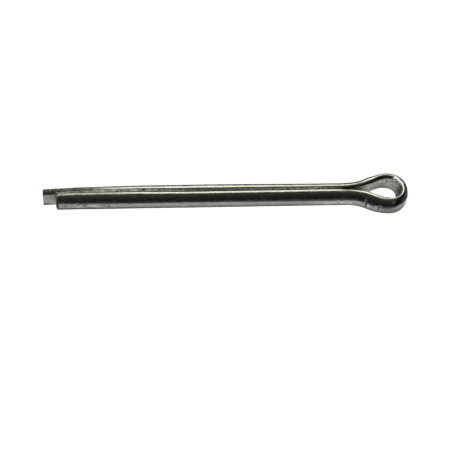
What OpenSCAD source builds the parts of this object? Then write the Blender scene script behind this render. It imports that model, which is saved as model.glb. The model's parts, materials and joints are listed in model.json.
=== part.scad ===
// Split cotter pin: one length of half-round wire, bent round a teardrop eye
// until its flat faces meet, so that the two legs make one round shank.
// X runs along the shank towards the eye, Y from the short leg to the long one,
// Z is square to the plane of the eye. The origin is on the shank's axis, at the
// plane where the flared throat seats on the rim of its hole.

/* [Wire] */
// Diameter of the round shank that the two legs make, twice the wire's thickness
shank_d = 4.45; // [2.5:0.05:8]
// How far the edges of the flat face stand in from the wire's full width
corner_in = 0.3; // [0.1:0.05:0.5]
// How far the eased corners reach from the flat face round the back of the wire
corner_w = 0.6; // [0.2:0.05:0.9]

/* [Legs] */
// Length from the seating plane to the end of the short leg
pin_l = 63; // [30:0.5:120]
// How far the long leg stands out past the short one
prong_extra = 2.7; // [1.5:0.1:6]
// Hairline between the flat faces of the two legs
leg_gap = 0.06; // [0.02:0.01:0.08]
// Width of the broken edge round the outside of each cut end
tip_break = 0.3; // [0.1:0.05:0.5]

/* [Eye] */
// Length from the seating plane to the outside of the eye's crown
eye_l = 9.65; // [7.5:0.05:14]
// Inside half width of the eye on the short leg's side
short_half = 2.25; // [1.8:0.05:4]
// Inside half width of the eye on the long leg's side
long_half = 2.4; // [1.8:0.05:4]
// Inside radius where the crown meets the short leg's side
short_crown_r = 1.6; // [0.8:0.1:2]
// Inside radius where the crown meets the long leg's side
long_crown_r = 2.2; // [0.8:0.1:2.6]
// Inside radius of the shoulder on the short leg's side
short_shoulder_r = 7.4; // [2.4:0.1:12]
// Inside radius of the shoulder on the long leg's side
long_shoulder_r = 3.6; // [2.4:0.1:12]
// Radius of the flared throat on the short leg's side
short_flare_r = 11.2; // [6:0.2:30]
// Radius of the flared throat on the long leg's side
long_flare_r = 19; // [6:0.5:30]

/* [Hidden] */
$fn = 96;
wire_r = shank_d / 2;
// the flat face of the wire at the crown
crown_x = eye_l - wire_r;
// the crown's two arcs are never wider than the eye
long_bend_r = min(long_crown_r, (short_half + long_half) / 2);
short_bend_r = min(short_crown_r, (short_half + long_half) / 2);
// straight of the crown between its two arcs, in whole ten-thousandths
crown_flat = round((short_half + long_half - long_bend_r - short_bend_r) * 1e4) / 1e4;
crown_from_y = long_half - long_bend_r;
// the short side's half width, measured back from where that straight ends
short_side = short_bend_r - (crown_from_y - crown_flat);
// the eased corners lie on one circle, which meets the flat face at its edge and
// the round back where the corner ends
flat_edge = wire_r - corner_in;
ease_x = (pow(wire_r, 2) - pow(flat_edge, 2)) / (2 * corner_w);
ease_r = sqrt(pow(ease_x, 2) + pow(flat_edge, 2));

// Moves its children to a point in two steps, the small rest of a long decimal
// last, so that arcs which share a joint meet there to the last digit
module place(at) {
    near = [for (v = at) round(v * 100) / 100];
    translate(near) translate(at - near) children();
}

// Wire section: flat face on the Y axis, round back towards +X, eased corners
module half_round() {
    intersection() {
        circle(wire_r);
        translate([ease_x, 0]) circle(ease_r);
        translate([0, -wire_r]) square([wire_r, 2 * wire_r]);
    }
}

// Wire bent about the origin: its flat face runs at the given radius, on the inside
// of the bend, or on the outside where the bend turns away from the eye
module bend(radius, from, turn, away = false) {
    rotate([0, 0, from])
        rotate_extrude(angle = turn)
            translate([radius, 0]) mirror([away ? 1 : 0, 0]) half_round();
}

// Ring that breaks the outer edge of a leg cut square at the origin, running to +X.
// Its slanted side runs on past the edge, by the width of the break, at both ends.
module edge_breaker() {
    rotate([0, 90, 0])
        rotate_extrude()
            polygon([
                [wire_r - 2 * tip_break, -tip_break],
                [wire_r + tip_break, -tip_break],
                [wire_r + tip_break, 2 * tip_break]
            ]);
}

// One leg with its half of the eye, drawn on the +Y side: straight leg, flared
// throat, shoulder and the arc that turns into the crown. The throat's slope follows
// from how far the wire travels sideways over its two side arcs.
module half_pin(tip_x, half, bend_r, shoulder_r, flare_r) {
    side_r = flare_r + shoulder_r;
    slope = round(acos(1 - (half - leg_gap / 2) / side_r) * 1e4) / 1e4;
    peak_x = crown_x - bend_r;
    throat_x = peak_x - side_r * sin(slope);
    leg_y = half - side_r * (1 - cos(slope));
    difference() {
        place([throat_x, leg_y, 0])
            rotate([-90, 0, 90]) linear_extrude(throat_x - tip_x) half_round();
        place([tip_x, leg_y, 0]) edge_breaker();
    }
    place([throat_x, leg_y + flare_r, 0]) bend(flare_r, -90, slope, away = true);
    place([peak_x, half - shoulder_r, 0]) bend(shoulder_r, 90, slope);
    place([peak_x, half - bend_r, 0]) bend(bend_r, 0, 90);
}

// The whole pin: both halves, and the short straight of the crown between them
module cotter_pin() {
    color("#9c9a92") {
        half_pin(-pin_l - prong_extra, long_half, long_bend_r, long_shoulder_r, long_flare_r);
        mirror([0, 1, 0])
            half_pin(-pin_l, short_side, short_bend_r, short_shoulder_r, short_flare_r);
        if (crown_flat > 0)
            place([crown_x, crown_from_y, 0])
                rotate([90, 0, 0]) linear_extrude(crown_flat) half_round();
    }
}

cotter_pin();
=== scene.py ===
import json
import math

import bpy
import numpy as np
from mathutils import Matrix, Vector


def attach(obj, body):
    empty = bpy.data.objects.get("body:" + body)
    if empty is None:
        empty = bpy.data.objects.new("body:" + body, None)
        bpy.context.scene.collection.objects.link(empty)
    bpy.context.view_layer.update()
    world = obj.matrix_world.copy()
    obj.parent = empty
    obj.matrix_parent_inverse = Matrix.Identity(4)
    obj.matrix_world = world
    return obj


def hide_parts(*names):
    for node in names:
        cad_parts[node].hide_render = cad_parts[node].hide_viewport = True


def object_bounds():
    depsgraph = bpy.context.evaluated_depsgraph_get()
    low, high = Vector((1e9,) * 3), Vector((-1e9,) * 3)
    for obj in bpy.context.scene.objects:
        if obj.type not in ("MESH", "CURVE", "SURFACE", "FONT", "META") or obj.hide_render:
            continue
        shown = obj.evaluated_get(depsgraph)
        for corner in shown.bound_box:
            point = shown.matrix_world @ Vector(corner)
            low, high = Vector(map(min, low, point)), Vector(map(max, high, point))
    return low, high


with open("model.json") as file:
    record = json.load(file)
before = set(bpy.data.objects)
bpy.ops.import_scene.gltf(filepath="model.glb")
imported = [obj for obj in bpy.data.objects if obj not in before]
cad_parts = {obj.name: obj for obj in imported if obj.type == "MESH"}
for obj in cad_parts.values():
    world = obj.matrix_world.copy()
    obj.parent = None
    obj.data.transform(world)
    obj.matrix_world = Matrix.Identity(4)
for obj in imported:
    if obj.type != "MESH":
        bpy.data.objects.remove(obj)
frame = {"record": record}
cadLow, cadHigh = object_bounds()

mm = 0.001
scene = bpy.context.scene
print("stage: frame loaded")

# The wire and its bends, in mm. The places come from the frame's box, so only
# what the box can't give is written here.
shankMount = [mount for mount in frame["record"]["mounts"] if mount["name"] == "shank"][0]
wire = {
    "radius": shankMount["dims"]["r_mm"],
    "corners": {             # how far in each eased corner ends on the flat, and on the back
        "leg": (0.29, 0.66),
        "eye": (0.32, 0.85),
        "crown": (0.36, 0.38),
    },
    "softening": 0.055,      # how far every corner of the section is blurred
    "legGap": 0.06,
    "prongExtra": 2.7,       # the long leg's length past the short one
    "shortCrown": 1.6,       # radii of each side's three bends, from the crown to the leg
    "longCrown": 2.2,
    "shortShoulder": 7.4,
    "longShoulder": 3.6,
    "shortFlare": 11.2,
    "longFlare": 19.0,
    "longSwell": 0.36,       # the long leg is fuller by this about its middle
    "partingBow": 0.16,      # the line between the legs bows this far toward the long one
    "tipDroop": 0.20,        # the shear pressed the long leg's end this far toward the short one
    "shortTipRound": 0.55,   # roll-over of the outside edge where a leg was sheared
    "longTipRound": 0.30,
    "flatTipRound": 0.07,
    "endDome": 0.05,         # the cut faces stand out by this in their middle
    "unevenness": [          # the drawn wire's slow waves: height, length, width round, seed
        (0.006, 5.0, 2.0, 3),
        (0.003, 0.9, 0.5, 4),
    ],
    "tipZone": 5.0,          # these lengths of leg get the fine step
    "throatZone": 3.0,
    "fineStep": 0.10,
    "coarseStep": 0.26,
    "sectionPoints": 104,
    "outlinePoints": 4096,   # the fine outline that the section's points are picked from
    "evenShare": 0.65,       # points are spaced by this plus the outline's bend in 1 / mm,
    "mostBend": 6,           # up to this much of it
    "capRings": 5,
}

# What bending did to the wire, by place along it from the crown's middle (the long
# side is positive) and reach. Lengths in mm, angles in degrees.
thinSpots = [                # the back lost this much
    {"at": -1.2, "reach": 1.0, "lost": 0.12},
    {"at": 0.4, "reach": 1.7, "lost": 0.54},
    {"at": 4.8, "reach": 2.0, "lost": 0.52},
    {"at": 8.8, "reach": 1.5, "lost": 0.12},
]
rolls = [                    # it turned about its own line at the pivot's height, and rose
    {"at": -6.8, "reach": 2.9, "turn": 12.0, "pivot": 0.75, "lift": 0.0},
    {"at": 0.25, "reach": 2.1, "turn": -22.0, "pivot": -1.0, "lift": 0.09},
    {"at": 6.4, "reach": 2.4, "turn": 9.0, "pivot": 1.9, "lift": 0.0},
]
squareness = [               # above 0 the back's edge is fuller, below 0 its top is sharper
    {"at": 4.6, "reach": 1.6, "amount": 0.20},
    {"at": 10.0, "reach": 3.2, "amount": -0.12},
]
eyeShare = [                 # how far the leg's corner has turned into the eye's, by place
    (-18, 0), (-10.5, 1), (9, 1), (14, 0)]
crownShare = [               # and the eye's into the crown's
    (-3.5, 0), (-1.2, 1), (1.5, 1), (4.0, 0)]

# Marks on the short leg's side of the eye, from bending and handling: place along X and
# angle round the back from its outermost line up, reach along and round, depth (one
# below 0 stands up), slant, and how dark or how bare they are; the dark is painted shade
# in the dents, and the bare is burnished metal that also paints glints where burrs catch
# the light. Lengths in mm, angles in degrees.
marks = [
    {"x": 1.84, "turn": 7, "along": 0.15, "round": 19, "depth": 0.05, "slant": 0.002, "soil": 2.2},
    {"x": 1.52, "turn": 26, "along": 0.10, "round": 12, "depth": -0.01, "slant": 0, "bare": 0.6},
    {"x": 1.42, "turn": 7, "along": 0.22, "round": 9, "depth": -0.015, "slant": 0, "bare": 1.0},
    {"x": 2.16, "turn": 4, "along": 0.22, "round": 9, "depth": -0.015, "slant": 0, "bare": 1.0},
    {"x": 3.85, "turn": 2, "along": 0.11, "round": 14, "depth": 0.03, "slant": 0.012, "soil": 1.0},
    {"x": 4.02, "turn": 21, "along": 0.10, "round": 8, "depth": 0.03, "slant": 0.03, "soil": 0.8},
    {"x": 3.62, "turn": 13, "along": 0.20, "round": 8, "depth": 0, "slant": 0, "bare": 1.0},
    {"x": 4.22, "turn": 24, "along": 0.20, "round": 6, "depth": 0, "slant": 0, "bare": 0.6},
    {"x": 6.22, "turn": 58, "along": 0.14, "round": 5, "depth": 0.02, "slant": 0.02, "bare": 0.3},
]

# Marks on the flat face inside the eye: place from the crown's middle, height, reach
# along and up the face, and how dark or how clean they are. Lengths in mm.
flatMarks = [
    {"at": 4.95, "height": 0.85, "along": 0.42, "high": 0.30, "clean": 1.0},
    {"at": 7.4, "height": 0.70, "along": 0.55, "high": 0.50, "clean": 1.0},
    {"at": 2.9, "height": 0.20, "along": 0.45, "high": 0.60, "clean": 0.6},
    {"at": 5.3, "height": -0.55, "along": 0.30, "high": 0.18, "soil": 0.8},
    {"at": 4.8, "height": 0.12, "along": 0.42, "high": 0.18, "soil": 0.95},
    {"at": 3.9, "height": 0.34, "along": 0.50, "high": 0.16, "soil": 0.8},
    {"at": 7.6, "height": -0.60, "along": 0.30, "high": 0.20, "soil": 0.5},
]

# Grain of the soil, the painted shade and the bare metal: length along the wire and width
# round it in mm, and a seed.
grains = {
    "teeth": (0.30, 1.0, 11),
    "wrinkles": (0.22, 0.16, 12),
    "clouds": (0.9, 0.6, 15),
    "film": (0.5, 0.35, 18),
    "streaks": (0.55, 0.13, 13),
    "specks": (0.20, 0.18, 16),
    "flecks": (0.40, 0.22, 14),
    "mottle": (0.42, 0.20, 17),
}

# How strong each trace of use and each painted shade or light is, from 0 to 1. A pair is
# the least anywhere on it and what its grain adds.
wearAndShading = {
    "eyeCorner": 0.85,         # painted shade on the eye's upper inside corner
    "groove": 0.15,            # painted shade between the legs
    "eyeFlat": (0.55, 0.35),   # bared flat face inside the eye
    "film": (0.24, 0.36),      # and the soil over it
    "flatLower": 0.5,          # painted shade low down on that face, and along its lower edge
    "flatLowEdge": 0.85,
    "throat": 0.75,            # painted shade where the flats part
    # painted shade on the flat toward the crown
    "insideCrown": 0.75,
    "streaks": 0.6,            # soil between the rubbed streaks
    "underEye": (0.22, 0.3),   # painted shade under the eye
    "handled": (0.14, 0.16),   # haze on the crown's back
    "longEnd": 0.65,           # soil on the worn long end
    "longFlat": (0.55, 0.35),  # its bared flat past the short leg, plus painted light
    "longFlatTop": 0.42,       # and painted shade on that flat's edges and low corner
    "longFlatFoot": 0.8,
    "longFlatCorner": 0.8,
    "rims": 0.85,              # darker on the rolled rims
    "shortEnd": (0.16, 0.30),  # soil on the short leg's inner edge
}


def linearColour(hexColour):
    # sRGB byte pair -> linear: v / 12.92 below the toe, else ((v + 0.055) / 1.055) ^ 2.4
    shares = [int(hexColour[i:i + 2], 16) / 255 for i in (1, 3, 5)]
    return [v / 12.92 if v <= 0.04045 else ((v + 0.055) / 1.055) ** 2.4 for v in shares] + [1]


def smoothStep(a):
    # 3 a^2 - 2 a^3 on 0..1
    a = np.clip(a, 0, 1)
    return a * a * (3 - 2 * a)


def bell(a, reach):
    # exp(-(a / reach)^2)
    return np.exp(-(a / reach) ** 2)


def softNoise(a, b, sizeA, sizeB, seed, ringB=None):
    # random heights on a lattice of sizeA x sizeB, joined by smooth steps; with ringB
    # the lattice closes on itself after that length in b
    rng = np.random.default_rng(seed)
    a = a / sizeA
    columns = max(3, round(ringB / sizeB)) if ringB else 512
    b = b / ringB * columns if ringB else b / sizeB
    a, b = a - np.floor(a.min()), b - np.floor(b.min()) * (not ringB)
    heights = rng.normal(size=(int(a.max()) + 3, columns))
    i, j = np.floor(a).astype(int), np.floor(b).astype(int)
    u, v = smoothStep(a - i), smoothStep(b - j)
    j0, j1 = j % columns, (j + 1) % columns
    low = heights[i, j0] * (1 - v) + heights[i, j1] * v
    high = heights[i + 1, j0] * (1 - v) + heights[i + 1, j1] * v
    return low * (1 - u) + high * u


def wireLine():
    # the flat face's middle line in plan: heading is the running sum of length / radius,
    # place is the running sum of the chords
    low, high = np.array(cadLow) / mm, np.array(cadHigh) / mm
    r = wire["radius"]
    crownX = high[0] - r
    sides = {}
    for name, half in (("short", -low[1] - r), ("long", high[1] - r)):
        flare, shoulder, crown = (wire[name + part] for part in ("Flare", "Shoulder", "Crown"))
        slope = math.acos(1 - (half - wire["legGap"] / 2) / (flare + shoulder))
        throat = crownX - crown - (flare + shoulder) * math.sin(slope)
        tip = low[0] + (wire["prongExtra"] if name == "short" else 0)
        sides[name] = dict(half=half, slope=slope, throat=throat, tip=tip, flare=flare,
                           shoulder=shoulder, crown=crown)
    short, long = sides["short"], sides["long"]
    fine, coarse = wire["fineStep"], wire["coarseStep"]
    tipZone, throatZone = wire["tipZone"], wire["throatZone"]
    straight = 1e9           # radius of a straight run
    runs = [                 # length, radius, step
        (tipZone, straight, fine),
        (short["throat"] - short["tip"] - tipZone - throatZone, straight, coarse),
        (throatZone, straight, fine),
        (short["flare"] * short["slope"], -short["flare"], fine),
        (short["shoulder"] * short["slope"], short["shoulder"], fine),
        (short["crown"] * math.pi / 2, short["crown"], fine),
        (short["half"] + long["half"] - short["crown"] - long["crown"], straight, fine),
        (long["crown"] * math.pi / 2, long["crown"], fine),
        (long["shoulder"] * long["slope"], long["shoulder"], fine),
        (long["flare"] * long["slope"], -long["flare"], fine),
        (throatZone, straight, fine),
        (long["throat"] - long["tip"] - tipZone - throatZone, straight, coarse),
        (tipZone, straight, fine),
    ]
    counts = [math.ceil(run[0] / run[2]) for run in runs]
    steps = np.concatenate([np.full(n, run[0] / n) for n, run in zip(counts, runs)])
    turns = np.concatenate([np.full(n, run[0] / n / run[1]) for n, run in zip(counts, runs)])
    heading = np.concatenate([[0], np.cumsum(turns)])
    middle = heading[:-1] + turns / 2
    chord = steps * np.sinc(turns / 2 / np.pi)
    x = short["tip"] + np.concatenate([[0], np.cumsum(chord * np.cos(middle))])
    y = -wire["legGap"] / 2 + np.concatenate([[0], np.cumsum(chord * np.sin(middle))])
    along = np.concatenate([[0], np.cumsum(steps)])
    crownAt = sum(run[0] for run in runs[:6]) + runs[6][0] / 2
    onLong = along > crownAt

    # the long leg's swell rises over the first third from its tip and falls off slowly;
    # the bends before it, with a heading under half a turn, have none
    t = np.clip((x - long["tip"]) / (long["throat"] - long["tip"]), 0, 1)
    rising, falling = smoothStep(t / 0.38), 1 - 0.85 * smoothStep((t - 0.55) / 0.45)
    swell = onLong * wire["longSwell"] * rising * falling
    swell = swell * smoothStep((heading - np.pi) / 0.01 + 1)
    # the parting line's bow: both flats move over, and the backs stay where they are
    bow = wire["partingBow"] * smoothStep((-36 - x) / 11) * smoothStep((x - low[0]) / 8)
    swell = swell + np.where(onLong, -bow, bow)
    droop = onLong * wire["tipDroop"] * (1 - smoothStep((x - long["tip"]) / 8))
    return dict(x=x, y=y + bow - droop, heading=heading, along=along, onLong=onLong,
                crownAt=crownAt, swell=swell, shortTip=short["tip"])


def sectionOutline(flatIn, backIn):
    # the half round section from the back's outermost line round to it again: a half
    # disc whose corners are cut by one circle, flatIn short of the flat's edge and backIn
    # out from the flat, all blurred along the outline
    r = wire["radius"]
    flat = r - flatIn
    cornerX = (r * r - flat * flat) / (2 * backIn)
    cornerR = math.hypot(cornerX, flat)
    ridgeZ = math.sqrt(r * r - backIn * backIn)
    # more points than are kept on the back and on the cut
    backTurn = np.linspace(0, math.atan2(ridgeZ, backIn), 900)
    cornerTurn = np.linspace(math.atan2(ridgeZ, backIn - cornerX), math.atan2(flat, -cornerX), 200)
    back = np.stack([r * np.cos(backTurn), r * np.sin(backTurn)], 1)
    cut = np.stack([cornerX + cornerR * np.cos(cornerTurn), cornerR * np.sin(cornerTurn)], 1)
    top = np.concatenate([back, cut[1:], [[0, 0]]])
    ring = np.concatenate([top, top[-2:0:-1] * [1, -1]])
    length = np.concatenate([[0], np.cumsum(np.hypot(*np.diff(ring, axis=0, append=ring[:1]).T))])
    count = wire["outlinePoints"]
    even = np.linspace(0, length[-1], count, endpoint=False)
    ring = np.stack([np.interp(even, length, np.append(ring[:, k], ring[0, k])) for k in (0, 1)], 1)
    # each wave of the outline is damped by exp(-(2 pi f softening)^2 / 2)
    waves = np.fft.fftfreq(count, length[-1] / count)
    damp = np.exp(-(2 * np.pi * waves * wire["softening"]) ** 2 / 2)
    soft = [np.fft.ifft(np.fft.fft(ring[:, k]) * damp).real for k in (0, 1)]
    return np.stack(soft, 1), length[-1]


def halfRound():
    # every outline at the same shares of its length, spaced more closely where any of
    # them turns fast; the leg's also gives the outward directions
    outlines = {name: sectionOutline(*corner) for name, corner in wire["corners"].items()}
    count = wire["outlinePoints"]
    bend = 0
    for outline, length in outlines.values():
        slope = np.roll(outline, -1, 0) - np.roll(outline, 1, 0)
        angle = np.unwrap(np.arctan2(slope[:, 1], slope[:, 0]))
        bend = np.maximum(bend, np.abs(np.gradient(angle)) / (length / count))
    weight = np.cumsum(wire["evenShare"] + np.minimum(bend, wire["mostBend"]))
    weight = np.concatenate([[0], weight / weight[-1]])
    share = np.arange(wire["sectionPoints"]) / wire["sectionPoints"]
    pick = np.interp(share, weight, np.arange(count + 1))

    def picked(values):
        return np.interp(pick, np.arange(count + 1), np.append(values, values[0]))

    ring, perimeter = outlines["leg"]
    slope = np.roll(ring, -1, 0) - np.roll(ring, 1, 0)
    size = np.hypot(*slope.T)
    shape = {}
    for name, (outline, length) in outlines.items():
        shape[name] = [picked(outline[:, k]) for k in (0, 1)]
    return dict(shape=shape, outN=picked(slope[:, 1] / size), outZ=-picked(slope[:, 0] / size),
                around=perimeter / count * pick, perimeter=perimeter)


def dents(at):
    # depth below the true surface, mm, and how dark and how bare it is, the dark being
    # painted shade in each dent and the bare burnished metal that also paints the glints
    # where the burrs catch the light: each mark is a bell along times a bell round, and the
    # drawn wire's waves are soft noise
    x, onLong, turn = at["x"], at["onLong"], at["turn"]
    depth = np.zeros(np.broadcast(at["along"], at["around"]).shape)
    soiled, bare = depth.copy(), depth.copy()
    for mark in marks:
        here = x - mark["x"] - mark["slant"] * (turn - mark["turn"])
        spot = ~onLong * bell(here, mark["along"]) * bell(turn - mark["turn"], mark["round"])
        depth += mark["depth"] * spot
        soiled = np.maximum(soiled, mark.get("soil", 0) * spot)
        bare = np.maximum(bare, mark.get("bare", 0) * spot)
    for height, length, width, seed in wire["unevenness"]:
        depth += height * softNoise(at["along"], at["around"], length, width, seed, at["perimeter"])
    return depth, soiled, bare


def patchy(trace, grain):
    # least + more x smooth step of the grain
    least, more = wearAndShading[trace]
    return least + more * smoothStep(grain)


def flatShare(n, z):
    # 1 on the flat face, 0 on the back and the corners
    return smoothStep((0.12 - n) / 0.08) * smoothStep((1.84 - np.abs(z)) / 0.1)


def eyeStainsShadeAndGlint(at, soiled, bare):
    # painted shade along the eye's bent corner and in the groove, soil with painted shade
    # over the flat face inside the eye, bare metal on that face, and a painted glint on the
    # wrinkles inside the crown; a trace is a product of smooth steps that bound its place,
    # and the strongest one holds
    x, onLong, fromCrown, n, z = at["x"], at["onLong"], at["fromCrown"], at["n"], at["z"]
    along, around = at["along"], at["around"]
    inEye = smoothStep((x + 4.8) / 1.6)
    # painted shade along the upper inside corner, with a toothed edge
    longReach = 0.52 * smoothStep((fromCrown - 1.8) / 1.0)
    shortReach = 0.38 * smoothStep((-1.5 - fromCrown) / 2)
    teeth = softNoise(along, 0 * around, *grains["teeth"])
    cornerReach = np.where(onLong, longReach, shortReach) + 0.05 * teeth
    corner = inEye * smoothStep((cornerReach - n) / 0.10) * smoothStep((z - 1.82) / 0.08)
    soiled = np.maximum(soiled, wearAndShading["eyeCorner"] * corner)
    # painted shade in the groove between the legs
    closed = smoothStep((0.5 - np.abs(at["y"])) / 0.3) * (x > at["shortTip"] - 0.2)
    soiled = np.maximum(soiled, wearAndShading["groove"] * closed * smoothStep(1 - n / 0.25))

    # a painted glint: pale bare metal on the wrinkles inside the crown, where they catch the light
    wrinkles = softNoise(along, around, *grains["wrinkles"])
    patch = bell(fromCrown - 1.8, 1.0) * smoothStep((0.6 - n) / 0.2) * smoothStep((z - 1.15) / 0.2)
    wrinkleGlint = smoothStep(patch * 1.6 + 0.35 * wrinkles - 0.5) * smoothStep(patch / 0.1)
    bare = np.maximum(bare, wrinkleGlint)
    soiled = soiled * (1 - wrinkleGlint)

    # the flat face is cloudy, with painted shade toward the crown, in the throat and low down
    flat = flatShare(n, z)
    eyeFlat = flat * onLong * smoothStep((x + 0.3) / 1.7)
    clouds = softNoise(along, around, *grains["clouds"])
    bare = np.maximum(bare, eyeFlat * patchy("eyeFlat", 0.5 + 0.5 * clouds))
    film = patchy("film", 0.4 + 0.6 * softNoise(along, around, *grains["film"]))
    soiled = np.maximum(soiled, film * flat * onLong * inEye)
    for spot in flatMarks:
        here = flat * bell(fromCrown - spot["at"], spot["along"])
        here = here * bell(z - spot["height"], spot["high"])
        soiled = np.maximum(soiled, spot.get("soil", 0) * here)
        soiled = soiled * (1 - spot.get("clean", 0) * here)
    # painted shade: low on the face, along its lower edge, in the throat and toward the crown
    lower = flat * onLong * inEye * smoothStep((-0.4 - z) / 1.5)
    soiled = np.maximum(soiled, wearAndShading["flatLower"] * lower)
    lowEdge = flat * onLong * inEye * smoothStep((-1.35 - z) / 0.35)
    soiled = np.maximum(soiled, wearAndShading["flatLowEdge"] * lowEdge)
    throat = flat * onLong * smoothStep((1.2 - x) / 1.7) * smoothStep((x + 6) / 2)
    soiled = np.maximum(soiled, wearAndShading["throat"] * throat)
    shade = smoothStep((2.6 - fromCrown) / 2.0) * smoothStep((fromCrown + 1.5) / 1.0)
    shaded = smoothStep((0.3 - n) / 0.1) * shade * (z < 1.85) * (1 - wrinkleGlint)
    soiled = np.maximum(soiled, wearAndShading["insideCrown"] * shaded)
    return soiled, bare * (1 - flat * shade)


def backStainsAndShade(at, soiled, bare):
    # on the back: rubbed streaks outside the eye and near the short leg's end, painted shade
    # under the eye and under the short leg, a haze on the crown where it was handled, and pale
    # flecks along the long leg's inner edge; bounded and joined as in the eye
    x, onLong, turn, n, z = at["x"], at["onLong"], at["turn"], at["n"], at["z"]
    along, around, perimeter = at["along"], at["around"], at["perimeter"]
    streaks = softNoise(along, around, *grains["streaks"], perimeter)
    rubbed = bell(turn - 1, 14) * smoothStep((x + 9.5) / 2) * smoothStep((5.5 - x) / 3) * ~onLong
    rubbed = rubbed + bell(turn - 10, 12) * bell(x + 57, 8) * ~onLong
    bare = np.maximum(bare, rubbed * smoothStep(0.25 + 1.3 * streaks))
    soiled = np.maximum(soiled, wearAndShading["streaks"] * rubbed * smoothStep(0.2 - streaks))
    specks = softNoise(along, around, *grains["specks"], perimeter)
    # painted shade under the eye, with a speckled grain
    underEye = smoothStep((x - 3.8) / 1.2) * ~onLong * smoothStep((24 - turn) / 10)
    soiled = np.maximum(soiled, underEye * patchy("underEye", specks))
    handled = smoothStep((x - 6.6) / 1.6) * smoothStep((78 - turn) / 25)
    handled = handled * smoothStep((n - 0.5) / 0.5)
    bare = np.maximum(bare, handled * patchy("handled", 0.4 + 0.7 * specks))

    # the flecks spread inward near the end and thin out in the middle of the leg
    flecks = softNoise(along, around, *grains["flecks"], perimeter)
    spread = 0.22 * bell(x + 51, 4.5)
    chalk = onLong * smoothStep((0.5 + spread - n) / 0.2) * smoothStep((z - 1.75) / 0.1)
    chalk = chalk * smoothStep((-3 - x) / 6) * (0.3 + 0.2 * smoothStep((-28 - x) / 18))
    chalk = chalk * smoothStep((x - at["shortTip"] + 0.2) / 0.5) * (1 - 0.7 * bell(x + 31, 9))
    bare = np.maximum(bare, chalk * smoothStep(0.62 + 0.26 * flecks))

    # painted shade on the short leg's underside, darkest toward its end
    under = smoothStep((1 - turn) / 13) * ~onLong
    underShade = 0.28 + 0.22 * bell(x + 16, 7) + 0.57 * smoothStep((-38 - x) / 14)
    return np.maximum(soiled, under * underShade), bare


def endStainsShadeAndLight(at, soiled, bare):
    # the cut ends: specks on the worn long one, its bared flat beyond the short leg with
    # painted light low down and painted shade on its edges and low corner, dark rims where
    # the metal rolled over, and a dulled inner edge on the short leg; bounded and joined as
    # in the eye
    x, onLong, fromEnd, n, z = at["x"], at["onLong"], at["fromEnd"], at["n"], at["z"]
    mottle = softNoise(at["along"], at["around"], *grains["mottle"], at["perimeter"])
    worn = onLong * smoothStep((18 - fromEnd) / 10) * smoothStep(n / 0.2)
    soiled = np.maximum(soiled, wearAndShading["longEnd"] * worn * smoothStep(0.45 + 0.6 * mottle))
    beyond = onLong * smoothStep((at["shortTip"] - x) / 0.1)
    longFlat = beyond * flatShare(n, z)
    # painted light: the bared flat is lighter low down and away from the cut
    paintedLight = smoothStep((fromEnd - 0.3) / 2) * smoothStep((0.8 - z) / 2)
    least, more = wearAndShading["longFlat"]
    bare = np.maximum(bare, longFlat * (least + more * paintedLight))
    # painted shade along the flat's top and foot edges, and in its low corner
    edges = beyond * smoothStep((0.5 - n) / 0.15) * smoothStep((np.abs(z) - 1.72) / 0.12)
    soiled = np.maximum(soiled, np.where(z > 0, wearAndShading["longFlatTop"], wearAndShading["longFlatFoot"]) * edges)
    lowCorner = longFlat * smoothStep((-0.9 - z) / 0.9) * smoothStep((2.4 - fromEnd) / 2.0)
    soiled = np.maximum(soiled, wearAndShading["longFlatCorner"] * lowCorner)

    # the long leg's rim is darker only near its top; the short one's upper corner shines
    rim = smoothStep((np.where(onLong, 0.45, 0.65) - fromEnd) / 0.2)
    rim = rim * np.where(onLong, smoothStep((z - 1.3) / 0.3), 1)
    rim = rim * (1 - ~onLong * bell(at["turn"] - 75, 4))
    soiled = np.maximum(soiled, wearAndShading["rims"] * rim)
    innerEdge = ~onLong * smoothStep((-44 - x) / 10) * smoothStep((0.85 - n) / 0.1) * (z > 1.6)
    return np.maximum(soiled, innerEdge * patchy("shortEnd", 0.4 + 0.6 * mottle)), bare


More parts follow.
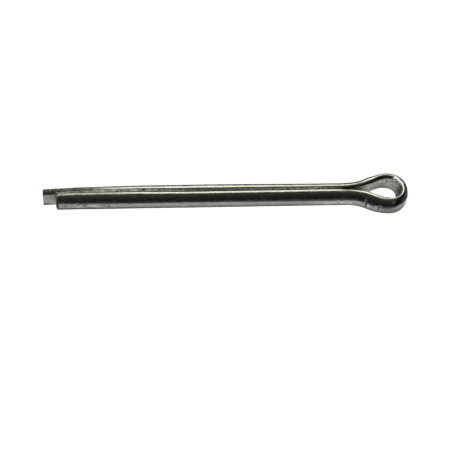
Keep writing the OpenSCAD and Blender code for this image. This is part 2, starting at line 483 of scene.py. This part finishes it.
def shapeWire(line, ring):
    # sweeps the section along the line: place = line + n across it and z up, after the
    # section's own dents, rolls and changes
    r = wire["radius"]
    n, z = (values[None, :] for values in ring["shape"]["leg"])
    outN, outZ = ring["outN"][None, :], ring["outZ"][None, :]
    along = line["along"][:, None]
    fromCrown = along - line["crownAt"]
    fromEnd = np.minimum(along, along[-1] - along)
    at = {name: line[name][:, None] for name in ("x", "y", "onLong", "along")}
    at.update(around=ring["around"][None, :], n=n, z=z, fromCrown=fromCrown, fromEnd=fromEnd,
              turn=np.degrees(np.arctan2(z, n + 1e-9)), perimeter=ring["perimeter"],
              shortTip=line["shortTip"])
    depth, soiled, bare = dents(at)
    for stainsAndShading in (eyeStainsShadeAndGlint, backStainsAndShade, endStainsShadeAndLight):
        soiled, bare = stainsAndShading(at, soiled, bare)

    # roll-over at both cut ends: a quarter circle, wide on the back and small on the flat
    backShare = smoothStep(n / 0.5)
    backRound = np.where(at["onLong"], wire["longTipRound"], wire["shortTipRound"])
    rounding = wire["flatTipRound"] + (backRound - wire["flatTipRound"]) * backShare
    lack = np.clip(rounding - fromEnd, 0, None)
    depth = depth + rounding - np.sqrt(rounding ** 2 - lack ** 2)
    lost = sum(spot["lost"] * bell(fromCrown - spot["at"], spot["reach"]) for spot in thinSpots)
    square = sum(
        spot["amount"] * bell(fromCrown - spot["at"], spot["reach"]) for spot in squareness)
    for name, shares in (("eye", eyeShare), ("crown", crownShare)):
        share = np.interp(fromCrown, *zip(*shares))
        n = n + (ring["shape"][name][0] - n) * share
        z = z + (ring["shape"][name][1] - z) * share
    # a squarer back: the cosine and sine of its angle, kept off 0, are raised to the
    # power 1 - square
    up = np.arctan2(z, n + 1e-9)
    z = z * np.maximum(np.abs(np.sin(up)), 1e-3) ** -square
    nSquare = n * np.maximum(np.abs(np.cos(up)), 1e-3) ** -square
    fuller = 1 + (line["swell"][:, None] - lost) / r
    n, z = nSquare * fuller - outN * depth, z - outZ * depth

    # rolls: each turns the section about a point on its flat face
    for roll in rolls:
        here = bell(fromCrown - roll["at"], roll["reach"])
        by = np.radians(roll["turn"]) * here
        pivot = roll["pivot"]
        n, z = (n * np.cos(by) - (z - pivot) * np.sin(by),
                n * np.sin(by) + (z - pivot) * np.cos(by) + pivot + roll["lift"] * here)

    heading = line["heading"][:, None]
    x = at["x"] + n * np.sin(heading)
    y = at["y"] - n * np.cos(heading)
    # only the worn long end is dulled for some way in
    worn = np.where(at["onLong"], smoothStep((16 - fromEnd) / 10), 0.2 * np.exp(-fromEnd / 4))
    fields = {
        "worn": np.broadcast_to(worn, soiled.shape),
        "soiled": np.clip(soiled, 0, 1),
        "bare": np.clip(bare, 0, 1),
    }
    return np.stack([x, y, z], 2), fields


def makePin():
    line, ring = wireLine(), halfRound()
    body, fields = shapeWire(line, ring)
    rows, columns = body.shape[:2]

    # end faces: rings that close on the section's middle, standing out a little toward
    # -X, where both ends point
    shrink = np.linspace(1, 0, wire["capRings"] + 2)[1:-1][:, None, None]
    caps, poles = [], []
    for row in (0, -1):
        middle = body[row].mean(0)
        cap = middle + (body[row] - middle) * shrink
        cap[:, :, 0] -= wire["endDome"] * (1 - shrink[:, :, 0] ** 2)
        caps.append(cap.reshape(-1, 3))
        poles.append(middle - [wire["endDome"], 0, 0])
    points = np.concatenate([body.reshape(-1, 3), *caps, poles])

    # quads between neighbouring rings, each ring closed on itself
    def quads(ringStarts):
        a = np.array(ringStarts[:-1])[:, None] + np.arange(columns)
        b = np.array(ringStarts[1:])[:, None] + np.arange(columns)
        nextA, nextB = np.roll(a, -1, 1), np.roll(b, -1, 1)
        return np.stack([a, b, nextB, nextA], 2).reshape(-1, 4)

    bodyStarts = np.arange(rows) * columns
    firstStarts = (rows + np.arange(wire["capRings"])) * columns
    lastStarts = firstStarts[-1] + columns + np.arange(wire["capRings"]) * columns
    poleAt = lastStarts[-1] + columns
    faces = np.concatenate([
        quads(bodyStarts),
        quads(np.concatenate([firstStarts[::-1], [0]])),
        quads(np.concatenate([[bodyStarts[-1]], lastStarts])),
    ])
    # fans of triangles from each innermost ring to its pole
    inner, outer = firstStarts[-1] + np.arange(columns), lastStarts[-1] + np.arange(columns)
    first = np.stack([inner, np.roll(inner, -1), np.full(columns, poleAt)], 1)
    last = np.stack([np.roll(outer, -1), outer, np.full(columns, poleAt + 1)], 1)

    corners = np.concatenate([faces.ravel(), first.ravel(), last.ravel()])
    sizes = np.concatenate([np.full(len(faces), 4), np.full(2 * columns, 3)])
    starts = np.concatenate([[0], np.cumsum(sizes)[:-1]])
    mesh = bpy.data.meshes.new("pinWire")
    mesh.vertices.add(len(points))
    mesh.vertices.foreach_set("co", (points * mm).ravel())
    mesh.loops.add(len(corners))
    mesh.loops.foreach_set("vertex_index", corners.astype(np.int32))
    mesh.polygons.add(len(sizes))
    mesh.polygons.foreach_set("loop_start", starts.astype(np.int32))
    mesh.update(calc_edges=True)
    mesh.polygons.foreach_set("use_smooth", np.ones(len(sizes), bool))

    # where each point lies along and round the wire, in mm, for the surface patterns; the
    # cut faces use their own y and z, on a patch before the wire's start
    onBody = np.arange(len(points)) < rows * columns
    alongAll, aroundAll = points[:, 1] - 5, points[:, 2].copy()
    alongAll[onBody] = np.repeat(line["along"], columns)
    aroundAll[onBody] = np.tile(ring["around"], rows)
    u, v = alongAll[corners], aroundAll[corners]
    # the last column's far side closes the ring at the full perimeter
    wraps = np.zeros(len(corners), bool)
    wraps[:len(faces) * 4] = np.tile([False, False, True, True], len(faces))
    wraps &= (v == 0) & onBody[corners]
    v = np.where(wraps, ring["perimeter"], v)
    layer = mesh.uv_layers.new(name="wire")
    layer.data.foreach_set("uv", np.stack([u, v], 1).ravel())

    # how worn, soiled and bare the metal is, with its painted shade and glints, point by point;
    # the cut faces are fully worn
    for name, field in fields.items():
        values = np.full(len(points), 1.0 if name == "worn" else 0.0, np.float32)
        values[onBody] = field.ravel()
        mesh.attributes.new(name, "FLOAT", "POINT").data.foreach_set("value", values)
    mesh.validate()
    pin = bpy.data.objects.new("pinWire", mesh)
    scene.collection.objects.link(pin)
    print("stage: wire made,", len(points), "points")
    return pin


def addNode(tree, kind, inputs=None, **settings):
    # one node: its properties, then each input as a value or as (node, output) to link
    node = tree.nodes.new(kind)
    for name, value in settings.items():
        setattr(node, name, value)
    for name, value in (inputs or {}).items():
        if isinstance(value, tuple) and isinstance(value[0], bpy.types.Node):
            tree.links.new(value[0].outputs[value[1]], node.inputs[name])
        else:
            node.inputs[name].default_value = value
    return node


def rampStops(node, stops):
    # sets a colour ramp's stops from (place, hex colour) pairs
    ramp = node.color_ramp
    while len(ramp.elements) < len(stops):
        ramp.elements.new(1)
    for element, (place, colour) in zip(ramp.elements, stops):
        element.position, element.color = place, linearColour(colour)


# The finish: each pattern's size along and round the wire and its depth, in mm, and the
# colours.
zinc = {
    "lines": (9, 0.16),      # really 0.03 mm apart, drawn coarser so that they show
    "lineDepth": 0.012,
    "clouds": (1.4, 0.5),
    "cloudDepth": 0.03,
    "patches": (6, 1.2),
    "pits": 0.22,
    "pitDepth": 0.03,
    "plateDark": "#a6a6a2",
    "plateLight": "#d2d2d0",
    "dulled": "#a8a698",
    "worn": "#8c8a7c",
    # also the colour of the painted glints
    "bare": "#e6e6e2",
    # also the colour of all the painted shade
    "soil": "#2b2a26",
}


def zincPlatedSteel():
    # Zinc plate over drawn steel wire: a metal, a little blue-grey when new and olive
    # where it has dulled, with fine lines along the wire from the drawing die, a
    # cloudy plated grain, pits and scuffs at the sheared ends, dark soil that is also the
    # painted shade in the creases, corners and undersides, and paler, rougher metal where
    # the plate was rubbed, which also paints the glints on the wrinkles and burrs.
    material = bpy.data.materials.new("zincPlatedSteel")
    material.use_nodes = True
    tree = material.node_tree
    tree.nodes.clear()
    onWire = addNode(tree, "ShaderNodeUVMap", uv_map="wire")
    space = addNode(tree, "ShaderNodeTexCoord")
    worn = addNode(tree, "ShaderNodeAttribute", attribute_name="worn")
    soiled = addNode(tree, "ShaderNodeAttribute", attribute_name="soiled")
    bare = addNode(tree, "ShaderNodeAttribute", attribute_name="bare")

    def perMm(pattern):
        # repeats in each mm along and round
        along, around = zinc[pattern]
        return 1 / along, 1 / around, 1

    # drawing lines, the plate's cloudy grain, dulled patches, and pits
    lineWay = addNode(tree, "ShaderNodeMapping", {
        "Vector": (onWire, "UV"), "Scale": perMm("lines")})
    lines = addNode(tree, "ShaderNodeTexNoise", {
        "Vector": (lineWay, "Vector"), "Scale": 1, "Detail": 3})
    cloudWay = addNode(tree, "ShaderNodeMapping", {
        "Vector": (onWire, "UV"), "Scale": perMm("clouds")})
    cloud = addNode(tree, "ShaderNodeTexNoise", {
        "Vector": (cloudWay, "Vector"), "Scale": 1, "Detail": 3, "Roughness": 0.6})
    patchWay = addNode(tree, "ShaderNodeMapping", {
        "Vector": (onWire, "UV"), "Scale": perMm("patches")})
    patch = addNode(tree, "ShaderNodeTexNoise", {
        "Vector": (patchWay, "Vector"), "Scale": 1, "Detail": 2})
    pitWay = addNode(tree, "ShaderNodeMapping", {
        "Vector": (space, "Object"), "Scale": [1 / (zinc["pits"] * mm)] * 3})
    pits = addNode(tree, "ShaderNodeTexNoise", {
        "Vector": (pitWay, "Vector"), "Scale": 1, "Detail": 2})

    # each kind of wear, and the painted shade and glints, mixes its colour over the one before
    tone = addNode(tree, "ShaderNodeValToRGB", {"Fac": (cloud, "Fac")})
    rampStops(tone, [(0.30, zinc["plateDark"]), (0.70, zinc["plateLight"])])
    dull = addNode(tree, "ShaderNodeMapRange", {
        "Value": (patch, "Fac"), "From Min": 0.45, "From Max": 0.8, "To Max": 0.6})
    colour = (tone, "Color")
    for name, share in (("dulled", (dull, "Result")), ("worn", (worn, "Fac")),
                        ("bare", (bare, "Fac")), ("soil", (soiled, "Fac"))):
        over = addNode(tree, "ShaderNodeMix", {0: share, 6: colour, 7: linearColour(zinc[name])},
                       data_type="RGBA")
        colour = (over, "Result")
    # rubbed metal is chalky, so it counts as less of a metal; the painted glints share it
    metal = addNode(tree, "ShaderNodeMath", {0: (bare, "Fac"), 1: -0.55, 2: 1.0},
                    operation="MULTIPLY_ADD")

    # and each adds its share to the roughness
    rough = addNode(tree, "ShaderNodeMapRange", {
        "Value": (cloud, "Fac"), "From Min": 0.3, "From Max": 0.7, "To Min": 0.17, "To Max": 0.26})
    roughness = (rough, "Result")
    for kind, more in ((worn, 0.42), (bare, 0.25), (soiled, 0.35)):
        rougher = addNode(tree, "ShaderNodeMath", {0: (kind, "Fac"), 1: more, 2: roughness},
                          operation="MULTIPLY_ADD")
        roughness = (rougher, "Value")

    pitShare = addNode(tree, "ShaderNodeMath", {0: (worn, "Fac"), 1: 0.95, 2: 0.05},
                       operation="MULTIPLY_ADD")
    lineBump = addNode(tree, "ShaderNodeBump", {
        "Height": (lines, "Fac"), "Strength": 0.6, "Distance": zinc["lineDepth"] * mm})
    cloudBump = addNode(tree, "ShaderNodeBump", {
        "Height": (cloud, "Fac"), "Normal": (lineBump, "Normal"), "Strength": 0.8,
        "Distance": zinc["cloudDepth"] * mm})
    pitBump = addNode(tree, "ShaderNodeBump", {
        "Height": (pits, "Fac"), "Normal": (cloudBump, "Normal"), "Strength": (pitShare, "Value"),
        "Distance": zinc["pitDepth"] * mm})
    skin = addNode(tree, "ShaderNodeBsdfPrincipled", {
        "Base Color": colour, "Metallic": (metal, "Value"), "Roughness": roughness,
        "Normal": (pitBump, "Normal")})
    addNode(tree, "ShaderNodeOutputMaterial", {"Surface": (skin, "BSDF")})
    return material


pin = makePin()
pin.data.materials.append(zincPlatedSteel())
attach(pin, "root")
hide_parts("cotter_pin")
print("stage: zinc plate put on")

# The set: an evenly lit white table, and a grey card just above it that only the metal
# sees, painted with the floor's light and shade.
room = {
    "boardSize": 3.0,        # m
    "tableDrop": 0.1,        # mm from the card down to the table
    "tableLight": 1.1,
    "cameraElevation": 56.0,
    "cameraRoll": 0.97,
    "cameraDistance": 0.8,   # m
    "viewWidth": 93.3,       # mm across the frame at the pin
    "aim": (-28.04, -7.43, 0.0),  # mm, the middle of the frame
}

# The card's greys, and where they change, in mm on the table: painted light and shade of
# the floor around the pin as the metal sees it.
card = {
    "within": "#f0f0ec",     # painted light under the pin
    "withinEdge": (-3.5, -1),
    "near": "#a2a2a0",       # before it
    "neck": "#bebeba",       # a patch of painted light there, before the throat
    "neckX": -5.6,
    "neckReach": (6.5, 3),
    "front": "#3c3c3b",      # painted shade further toward the front
    "frontEdge": (-4, -16),  # comes nearest at frontX and falls away at the slope each side
    "frontX": -8,
    "frontSlope": 0.36,
    "behind": "#303030",     # painted shadow behind the pin, and past the eye's end
    "behindEdge": (2.5, 7.5),
    "behindX": 7.5,
    "behindSlope": 1.2,
}


def lightTable():
    # white acrylic lit from below, evenly enough to swallow the pin's shadow
    material = bpy.data.materials.new("lightTable")
    material.use_nodes = True
    tree = material.node_tree
    tree.nodes.clear()
    glow = addNode(tree, "ShaderNodeEmission", {"Strength": room["tableLight"]})
    addNode(tree, "ShaderNodeOutputMaterial", {"Surface": (glow, "Emission")})
    return material


def greyCard():
    # matt card whose greys are painted light and shade of the floor: each grey is mixed over
    # the one before by a ramp across its edge
    material = bpy.data.materials.new("greyCard")
    material.use_nodes = True
    tree = material.node_tree
    tree.nodes.clear()
    place = addNode(tree, "ShaderNodeTexCoord")
    parts = addNode(tree, "ShaderNodeSeparateXYZ", {"Vector": (place, "Object")})

    def ramp(value, edge, **settings):
        # 0 at the edge's first place and 1 at its second
        low, high = (at * mm for at in card[edge])
        return addNode(tree, "ShaderNodeMapRange", {
            "Value": value, "From Min": low, "From Max": high}, **settings)

    fromNeck = addNode(tree, "ShaderNodeMath", {0: (parts, "X"), 1: card["neckX"] * mm},
                       operation="SUBTRACT")
    besideNeck = addNode(tree, "ShaderNodeMath", {0: (fromNeck, "Value")}, operation="ABSOLUTE")
    neck = ramp((besideNeck, "Value"), "neckReach", interpolation_type="SMOOTHSTEP")
    fromFront = addNode(tree, "ShaderNodeMath", {0: (parts, "X"), 1: card["frontX"] * mm},
                        operation="SUBTRACT")
    besideFront = addNode(tree, "ShaderNodeMath", {0: (fromFront, "Value")}, operation="ABSOLUTE")
    bent = addNode(tree, "ShaderNodeMath", {
        0: (besideFront, "Value"), 1: card["frontSlope"], 2: (parts, "Y")},
        operation="MULTIPLY_ADD")
    front = ramp((bent, "Value"), "frontEdge")
    within = ramp((parts, "Y"), "withinEdge")
    past = addNode(tree, "ShaderNodeMath", {0: (parts, "X"), 1: card["behindX"] * mm},
                   operation="SUBTRACT")
    pastEye = addNode(tree, "ShaderNodeMath", {0: (past, "Value"), 1: 0.0}, operation="MAXIMUM")
    back = addNode(tree, "ShaderNodeMath", {
        0: (pastEye, "Value"), 1: card["behindSlope"], 2: (parts, "Y")},
        operation="MULTIPLY_ADD")
    behind = ramp((back, "Value"), "behindEdge", interpolation_type="SMOOTHSTEP")

    grey = linearColour(card["near"])
    for name, share in (("neck", neck), ("front", front), ("within", within), ("behind", behind)):
        over = addNode(tree, "ShaderNodeMix", {
            0: (share, "Result"), 6: grey, 7: linearColour(card[name])}, data_type="RGBA")
        grey = (over, "Result")
    matt = addNode(tree, "ShaderNodeBsdfDiffuse", {"Color": grey})
    addNode(tree, "ShaderNodeOutputMaterial", {"Surface": (matt, "BSDF")})
    return material


def makeBoard(name, material, drop, **seenBy):
    # one square, drop mm under the lowest point of the pin
    half = room["boardSize"] / 2
    z = cadLow[2] - drop * mm
    square = [(-half, -half, z), (half, -half, z), (half, half, z), (-half, half, z)]
    mesh = bpy.data.meshes.new(name)
    mesh.from_pydata(square, [], [(0, 1, 2, 3)])
    board = bpy.data.objects.new(name, mesh)
    scene.collection.objects.link(board)
    mesh.materials.append(material)
    for ray, seen in seenBy.items():
        setattr(board, "visible_" + ray, seen)
    return board


makeBoard("whiteBoard", lightTable(), room["tableDrop"], glossy=False, shadow=False)
makeBoard("greyBoard", greyCard(), 0.0, camera=False, diffuse=False, shadow=False)

# Lights: place, aim and size in metres, power, and which rays see them. The first
# lights the scene, and the metal mirrors the other two.
lights = [
    {"name": "highBehind", "at": (0, 0.45, 1.10), "to": (0, 0, 0), "size": (2.4, 1.8),
     "power": 52, "colour": "#ffffff", "glossy": False, "diffuse": True},
    {"name": "stripBehind", "at": (-0.11, 0.60, 0.195), "to": (-0.12, 0, 0), "size": (0.72, 0.37),
     "power": 1.5, "colour": "#fffeee", "glossy": True, "diffuse": False},
    {"name": "stripLeft", "at": (-0.54, 0.16, 0.32), "to": (0, 0, 0), "size": (0.84, 0.50),
     "power": 2.3, "colour": "#fdfdf2", "glossy": True, "diffuse": False},
]


def makeLight(spec):
    # a rectangle of light at its place, turned to face its aim
    data = bpy.data.lights.new(spec["name"], "AREA")
    data.shape = "RECTANGLE"
    data.size, data.size_y = spec["size"]
    data.energy = spec["power"]
    data.color = linearColour(spec["colour"])[:3]
    light = bpy.data.objects.new(spec["name"], data)
    light.location = spec["at"]
    toward = Vector(spec["to"]) - Vector(spec["at"])
    light.rotation_mode = "QUATERNION"
    light.rotation_quaternion = toward.to_track_quat("-Z", "Y")
    light.visible_camera = False
    light.visible_glossy = spec["glossy"]
    light.visible_diffuse = spec["diffuse"]
    scene.collection.objects.link(light)


for spec in lights:
    makeLight(spec)

# The room's greys from the horizon, 0, to overhead, 1, in front of the pin and behind it.
walls = {
    "near": [(0.0, "#585858"), (0.09, "#303030"), (0.21, "#202020"), (0.42, "#2b2b2b"),
             (0.6, "#30302f"), (0.71, "#393834"), (0.82, "#45453f"), (1.0, "#525246")],
    "far": [(0.0, "#3a3a36"), (0.25, "#84846e"), (0.5, "#74745f"), (1.0, "#525246")],
    "seen": "#f2f2f0",       # the plain ground that the camera sees
}


def makeWorld():
    # the room as the metal sees it, by direction: grey by the height over the horizon,
    # near and far joined across the room, and dimmed toward both sides
    world = bpy.data.worlds.new("studioRoom")
    scene.world = world
    world.use_nodes = True
    tree = world.node_tree
    tree.nodes.clear()
    way = addNode(tree, "ShaderNodeTexCoord")
    parts = addNode(tree, "ShaderNodeSeparateXYZ", {"Vector": (way, "Generated")})
    rise = addNode(tree, "ShaderNodeMath", {0: (parts, "Z")}, operation="ARCSINE")
    height = addNode(tree, "ShaderNodeMath", {0: (rise, "Value"), 1: 2 / math.pi},
                     operation="MULTIPLY")
    near = addNode(tree, "ShaderNodeValToRGB", {"Fac": (height, "Value")})
    rampStops(near, walls["near"])
    far = addNode(tree, "ShaderNodeValToRGB", {"Fac": (height, "Value")})
    rampStops(far, walls["far"])
    across = addNode(tree, "ShaderNodeMath", {0: (parts, "X")}, operation="ABSOLUTE")
    ahead = addNode(tree, "ShaderNodeMath", {0: (across, "Value"), 1: -0.9, 2: (parts, "Y")},
                    operation="MULTIPLY_ADD")
    side = addNode(tree, "ShaderNodeMapRange", {
        "Value": (ahead, "Value"), "From Min": 0.05, "From Max": 0.4},
        interpolation_type="SMOOTHSTEP")
    sky = addNode(tree, "ShaderNodeMix", {
        0: (side, "Result"), 6: (near, "Color"), 7: (far, "Color")}, data_type="RGBA")
    aside = addNode(tree, "ShaderNodeMapRange", {
        "Value": (across, "Value"), "From Min": 0.12, "From Max": 0.5,
        "To Min": 1.0, "To Max": 0.45})
    dimmed = addNode(tree, "ShaderNodeMix", {0: 1.0, 6: (sky, "Result"), 7: (aside, "Result")},
                     data_type="RGBA", blend_type="MULTIPLY")
    rays = addNode(tree, "ShaderNodeLightPath")
    shown = addNode(tree, "ShaderNodeMix", {
        0: (rays, "Is Camera Ray"), 6: (dimmed, "Result"), 7: linearColour(walls["seen"])},
        data_type="RGBA")
    light = addNode(tree, "ShaderNodeBackground", {"Color": (shown, "Result"), "Strength": 1.0})
    addNode(tree, "ShaderNodeOutputWorld", {"Surface": (light, "Background")})


makeWorld()


def makeCamera():
    # looks along +Y and down by the elevation; roll turns the picture about its middle
    rise = math.radians(room["cameraElevation"])
    back = Vector((0, -math.cos(rise), math.sin(rise)))
    data = bpy.data.cameras.new("camera")
    camera = bpy.data.objects.new("camera", data)
    scene.collection.objects.link(camera)
    scene.camera = camera
    data.sensor_width = 36
    aim = Vector(room["aim"]) * mm
    # the lens gives viewWidth at the pin's own depth, not at the aimed point
    depth = room["cameraDistance"] - back.dot(-aim)
    data.lens = data.sensor_width * depth / (room["viewWidth"] * mm)
    data.clip_start, data.clip_end = 0.01, 20
    turn = (-back).to_track_quat("-Z", "Y").to_matrix().to_4x4()
    roll = Matrix.Rotation(math.radians(-room["cameraRoll"]), 4, "Z")
    camera.matrix_world = Matrix.Translation(aim + back * room["cameraDistance"]) @ turn @ roll


makeCamera()
scene.view_settings.view_transform = "Standard"
print("stage: set, lights and camera made")
